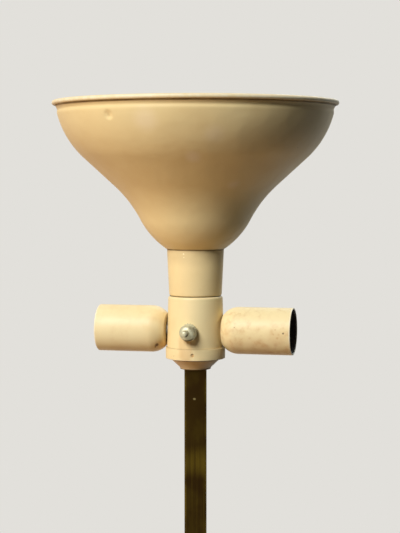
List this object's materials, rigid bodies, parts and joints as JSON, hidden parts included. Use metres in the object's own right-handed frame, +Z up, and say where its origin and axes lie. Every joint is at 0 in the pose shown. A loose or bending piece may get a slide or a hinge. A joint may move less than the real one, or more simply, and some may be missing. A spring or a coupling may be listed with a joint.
{
  "type": "floor lamp",
  "caption": "Free-standing reflector floor lamp: open metal bowl over a cluster of screw lampholders with a rotary switch, on a square brass pole and a round weighted base.",
  "frame": {"origin": "centre of the felt pad's underside, on the floor under the pole", "axes": "+Z up along the pole; -Y is the front, towards which one flat face of the square pole looks; +X is the viewer's right. The cluster is turned 13 degrees about +Z, so its right arm points a little to the front and the switch knob a little to the left"},
  "size_m": [0.254, 0.254, 1.4495],
  "materials": {
    "enamel": "cream enamel, semi-gloss, aged",
    "aged_brass": "dark aged brass, brushed lengthwise",
    "brass_fittings": "plain brass",
    "nickel": "worn bright plating",
    "steel": "zinc plated",
    "iron": "as cast, black",
    "phenolic": "moulded black",
    "fibre": "dark fibre sleeve",
    "felt": "pressed felt",
    "lead_cloth": "woven cover over rubber"
  },
  "bodies": {
    "lamp": {"felt_pad": "felt", "base_weight": "iron", "base_cover": "enamel", "cord_bushing": "phenolic", "base_washer": "steel", "base_nut": "brass_fittings", "pole_collar": "aged_brass", "lower_plug": "steel", "square_tube": "aged_brass", "upper_plug": "steel", "tie_pipe": "steel", "tube_cup": "enamel", "cluster_cap": "enamel", "cap_screws": "steel", "cluster_nut": "brass_fittings", "cluster_body": "enamel", "switch_housing": "phenolic", "switch_back": "phenolic", "switch_terminals": "brass_fittings", "switch_bushing": "brass_fittings", "switch_nut": "nickel", "socket_locknuts": "brass_fittings", "left_shell": "enamel", "left_liner": "fibre", "left_insulator": "phenolic", "left_screw_shell": "brass_fittings", "left_contact": "brass_fittings", "left_nipple": "steel", "left_lead": "lead_cloth", "right_shell": "enamel", "right_liner": "fibre", "right_insulator": "phenolic", "right_screw_shell": "brass_fittings", "right_contact": "brass_fittings", "right_nipple": "steel", "right_lead": "lead_cloth", "neck_cup": "enamel", "top_nipple": "steel", "top_insulator": "phenolic", "top_screw_shell": "brass_fittings", "top_contact": "brass_fittings", "top_lead": "lead_cloth", "bowl_shade": "enamel", "clamp_ring": "brass_fittings"},
    "switch": {"switch_knob": "nickel", "switch_shaft": "steel", "switch_rotor": "phenolic"}
  },
  "joints": [
    {"name": "switch_turn", "type": "hinge", "parent": "lamp", "child": "switch", "pos_m": [-0.00512, -0.02217, 1.2862], "axis": [-0.225, -0.9744, 0], "continuous": true}
  ]
}
